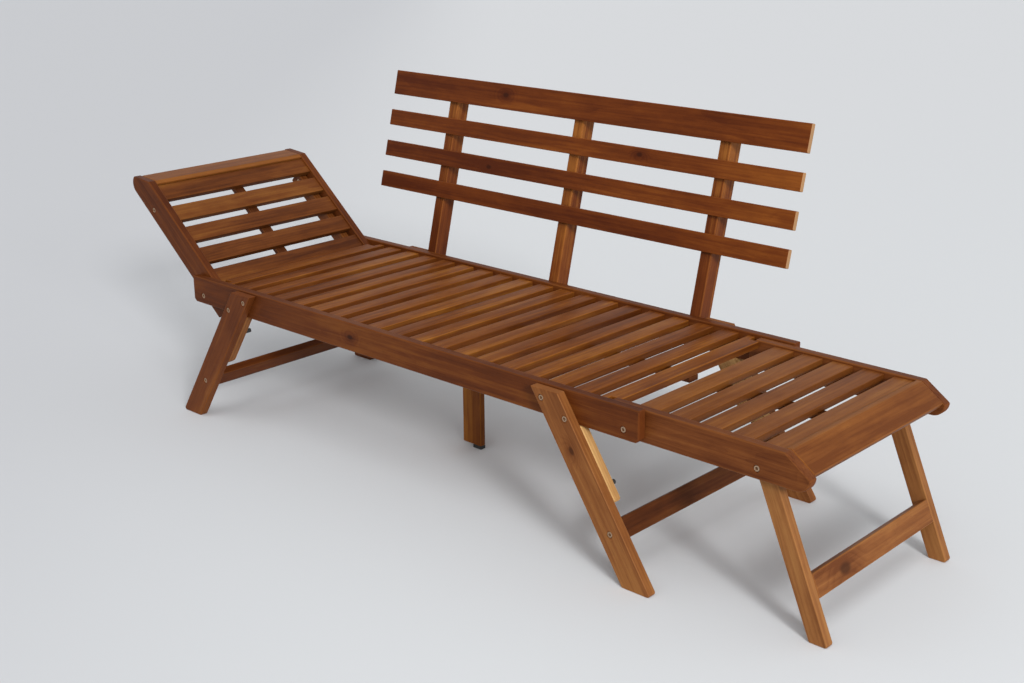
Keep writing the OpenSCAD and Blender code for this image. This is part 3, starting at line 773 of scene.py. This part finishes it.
def bolt_set():
    """Bolts at given points, from each head along the point's own reach to a sleeve nut. The
    attribute socket marks the sockets' faces, which the metal colours dark as painted shade."""
    tree = bpy.data.node_groups.new("bolt_set", "GeometryNodeTree")
    g = Nodes(tree)
    tree.interface.new_socket("Points", in_out="INPUT", socket_type="NodeSocketGeometry")
    for name, kind in (("Head Radius", "Float"), ("Head Thickness", "Float"),
                       ("Rim", "Float"), ("Socket Radius", "Float"),
                       ("Socket Depth", "Float"), ("Shank Radius", "Float"),
                       ("Metal", "Material")):
        tree.interface.new_socket(name, in_out="INPUT", socket_type="NodeSocket" + kind)
    tree.interface.new_socket("Bolts", in_out="OUTPUT", socket_type="NodeSocketGeometry")
    given = g.add("NodeGroupInput")
    radius = given.output("Head Radius")
    thick = given.output("Head Thickness")
    rim = given.output("Rim")

    # The head: a disc below the point, with a chamfered rim and the socket cut into it
    disc = g.add("GeometryNodeMeshCylinder", None,
                 {"Vertices": head_sides, "Radius": radius, "Depth": thick - rim})
    lower = g.joined(z=(thick + rim) * -0.5)
    disc = g.add("GeometryNodeTransform", None, {"Geometry": disc, "Translation": lower})
    cap = g.add("GeometryNodeMeshCone", None,
                {"Vertices": head_sides, "Radius Top": radius - rim, "Radius Bottom": radius,
                 "Depth": rim})
    upper = g.joined(z=rim * -1.0)
    cap = g.add("GeometryNodeTransform", None, {"Geometry": cap, "Translation": upper})
    head = g.add("GeometryNodeMeshBoolean", {"operation": "UNION", "solver": "EXACT"},
                 {"Mesh 2": disc})
    g.tree.links.new(cap.socket, head.node.inputs["Mesh 2"])
    well = g.add("GeometryNodeMeshCylinder", None,
                 {"Vertices": socket_sides, "Radius": given.output("Socket Radius"),
                  "Depth": given.output("Socket Depth") * 2.0})
    head = g.add("GeometryNodeMeshBoolean", {"operation": "DIFFERENCE", "solver": "EXACT"},
                 {"Mesh 1": head, "Mesh 2": well})
    place = g.parts(g.add("GeometryNodeInputPosition"))
    flat = g.joined(place.output("X"), place.output("Y"))
    off_axis = g.add("ShaderNodeVectorMath", {"operation": "LENGTH"}, {0: flat}, out="Value")
    inner = off_axis.maths("LESS_THAN", given.output("Socket Radius") * socket_reach)
    inner = inner * place.output("Z").maths("LESS_THAN", rim * socket_below)
    head = g.store(head, "socket", inner)

    points = g.add("GeometryNodeMeshToPoints", None, {"Mesh": given.output("Points")})

    def named(name, kind="FLOAT"):
        return g.add("GeometryNodeInputNamedAttribute", {"data_type": kind}, {"Name": name})

    facing, reach, has_nut = named("facing"), named("reach"), named("has_nut")
    turn = g.joined(facing * math.radians(-90))
    turn_back = g.joined(facing * math.radians(90))
    heads = g.add("GeometryNodeInstanceOnPoints", None,
                  {"Points": points, "Instance": head, "Rotation": turn})
    shank = g.add("GeometryNodeMeshCylinder", None,
                  {"Vertices": shank_sides, "Radius": given.output("Shank Radius"),
                   "Depth": 1.0})
    shank = g.add("GeometryNodeTransform", None,
                  {"Geometry": shank, "Translation": (0, 0, -0.5)})
    inside = thick * shank_start
    stretch = g.joined(1.0, 1.0, reach - inside * 2.0)
    sunk = g.joined(y=facing * inside * -1.0)
    shank_points = g.add("GeometryNodeSetPosition", None, {"Geometry": points, "Offset": sunk})
    shanks = g.add("GeometryNodeInstanceOnPoints", None,
                   {"Points": shank_points, "Instance": shank, "Rotation": turn,
                    "Scale": stretch})
    across = g.joined(y=facing * reach * -1.0)
    far_points = g.add("GeometryNodeSetPosition", None, {"Geometry": points, "Offset": across})
    nuts = g.add("GeometryNodeInstanceOnPoints", None,
                 {"Points": far_points, "Instance": head, "Rotation": turn_back,
                  "Selection": has_nut.maths("GREATER_THAN", 0.5)})
    bolts = g.add("GeometryNodeJoinGeometry", None, {"Geometry": heads})
    for part in (shanks, nuts):
        g.tree.links.new(part.socket, bolts.node.inputs["Geometry"])
    bolts = g.add("GeometryNodeRealizeInstances", None, {"Geometry": bolts})
    bolts = g.add("GeometryNodeSetMaterial", None,
                  {"Geometry": bolts, "Material": given.output("Metal")})
    g.add("NodeGroupOutput", None, {0: bolts})
    return tree


bolt_tree = bolt_set()
middle_y = (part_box("front_rail")[0].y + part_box("back_rail")[1].y) / 2
pivot_low, pivot_high = bolt_boxes["pivot_bolts"][0]
head_radius = (pivot_high.z - pivot_low.z) / 2

# A bolt that is this many times as long as its set's shortest ends in a stretcher
stretcher_length = 1.5
for node, boxes in bolt_boxes.items():
    points = bpy.data.meshes.new(node + "_points")
    spots, facings, reaches, nuts = [], [], [], []
    shortest = min(high.y - low.y for low, high in boxes)
    for low, high in boxes:
        centre = (low + high) / 2
        outward = 1.0 if centre.y > middle_y else -1.0
        facings.append(outward)
        reaches.append(high.y - low.y)
        spots.append((centre.x, high.y if outward > 0 else low.y, centre.z))
        in_stretcher = high.y - low.y > stretcher_length * shortest
        nuts.append(0.0 if in_stretcher else 1.0)
    points.from_pydata(spots, [], [])
    for name, numbers in (("facing", facings), ("reach", reaches), ("has_nut", nuts)):
        points.attributes.new(name, "FLOAT", "POINT").data.foreach_set("value", numbers)
    bolts = made_by(bolt_tree, node + "_metal", {
        "Head Radius": head_radius, "Head Thickness": head_thickness, "Rim": head_rim,
        "Socket Radius": socket_radius, "Socket Depth": socket_depth,
        "Shank Radius": shank_radius, "Metal": zinc}, points)
    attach(bolts, frame["nodes"][node]["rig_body"])
    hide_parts(node)

# Stop pins: dark pegs with rounded tips, set into the inner faces of the leg blocks. They
# are of the same black rubber as the centre leg's pad.

pin_arris = 2.0 * mm
pin_steps = 4
eased_boards("stop_pins", rubber, arris=pin_arris, steps=pin_steps)

# The floor is one wide sheet of pale studio paper, with a little painted light far behind the
# bench and painted shade on its left.

near_paper = (0.714, 0.732, 0.750)
far_painted_light = (0.722, 0.734, 0.752)
left_painted_shade = (0.618, 0.628, 0.652)
farthest_off = 8.0
farthest_left = 1.6

# The floor's direction towards the picture's left side
left_x = -0.73
left_y = -0.68
paper, p = finish_named("pale_paper")
floor_place = p.add("ShaderNodeTexCoord", None, None, out="Object")
floor_parts = p.parts(floor_place)
away = floor_parts.output("Y") - floor_parts.output("X")
# Painted light: the paper grows a little lighter far behind the bench
paper_tone = p.mix(p.smooth(away, 0.0, farthest_off), near_paper, far_painted_light)
# Painted shade: the paper darkens towards the picture's left
aside = floor_parts * left_x + floor_parts.output("Y") * left_y
paper_tone = p.mix(p.smooth(aside, 0.0, farthest_left), paper_tone, left_painted_shade)
close_finish(p, {"Base Color": paper_tone, "Roughness": 0.9, "Specular IOR Level": 0.1})
floor_reach = 60.0
floor_mesh = bpy.data.meshes.new("studio_floor")
floor_mesh.from_pydata([(-floor_reach, -floor_reach, 0), (floor_reach, -floor_reach, 0),
                        (floor_reach, floor_reach, 0), (-floor_reach, floor_reach, 0)],
                       [], [(0, 1, 2, 3)])
floor = bpy.data.objects.new("studio_floor", floor_mesh)
bpy.context.scene.collection.objects.link(floor)
floor.data.materials.append(paper)

# Light: a soft box low at the right front corner, as a distant and a near lamp that agree in
# direction, with a weak wide lamp overhead and an even sky.

sky_on_bench = (0.58, 0.585, 0.59)
sky_in_view = (0.675, 0.685, 0.705)
world = bpy.data.worlds.new("studio")
bpy.context.scene.world = world
world.use_nodes = True
world.node_tree.nodes.clear()
s = Nodes(world.node_tree)
rays = s.add("ShaderNodeLightPath", None, None, out="Is Camera Ray")
seen = rays + rays.output("Is Glossy Ray") + rays.output("Is Transmission Ray")
seen = seen.maths("MINIMUM", 1.0)
sky = s.mix(seen, sky_on_bench, sky_in_view)
background = s.add("ShaderNodeBackground", None, {"Color": sky, "Strength": 1.0})
s.add("ShaderNodeOutputWorld", None, {"Surface": background})


def lamp(name, kind, energy, place, aim, **settings):
    """A lamp at a place, pointing at another."""
    data = bpy.data.lights.new(name, kind)
    data.energy = energy
    for key, value in settings.items():
        setattr(data, key, value)
    light = bpy.data.objects.new(name, data)
    light.location = place
    light.rotation_mode = "QUATERNION"
    light.rotation_quaternion = (Vector(aim) - Vector(place)).to_track_quat("-Z", "Y")
    bpy.context.scene.collection.objects.link(light)


lamp("main_bank", "SUN", energy=1.7, place=(2.75, -1.45, 1.30), aim=(0, 0, 0),
     angle=math.radians(10))
lamp("ceiling_bank", "SUN", energy=0.55, place=(0.6, -0.9, 2.2), aim=(0, 0, 0),
     angle=math.radians(30))
lamp("near_box", "AREA", energy=22.0, place=(3.5, -1.6, 1.9), aim=(0.6, 0, 0.3),
     shape="DISK", size=0.6)

# The camera stands at the right front corner, 0.9 m above the seat, and looks down at it.
# Its lens, place and turns were worked out from the lines of the bench in the photograph.

lens_length = 50.51
sensor_width = 36.0
camera_place = (2.0543, -2.2089, 1.2632)
yaw, pitch, roll = (math.radians(degrees) for degrees in (-42.97, -18.38, -0.38))
camera_data = bpy.data.cameras.new("camera")
camera_data.sensor_width = sensor_width
camera_data.lens = lens_length
camera_data.clip_start = 0.05
camera_data.clip_end = 200.0
camera = bpy.data.objects.new("camera", camera_data)
bpy.context.scene.collection.objects.link(camera)
bpy.context.scene.camera = camera
ahead = Vector((math.sin(yaw) * math.cos(pitch), math.cos(yaw) * math.cos(pitch),
                math.sin(pitch)))
level = Vector((math.cos(yaw), -math.sin(yaw), 0))
upright = level.cross(ahead)
right = math.cos(roll) * level + math.sin(roll) * upright
up = math.cos(roll) * upright - math.sin(roll) * level
turned = Matrix((right, up, -ahead)).transposed().to_4x4()
camera.matrix_world = Matrix.Translation(camera_place) @ turned

bpy.context.scene.view_settings.view_transform = "Standard"
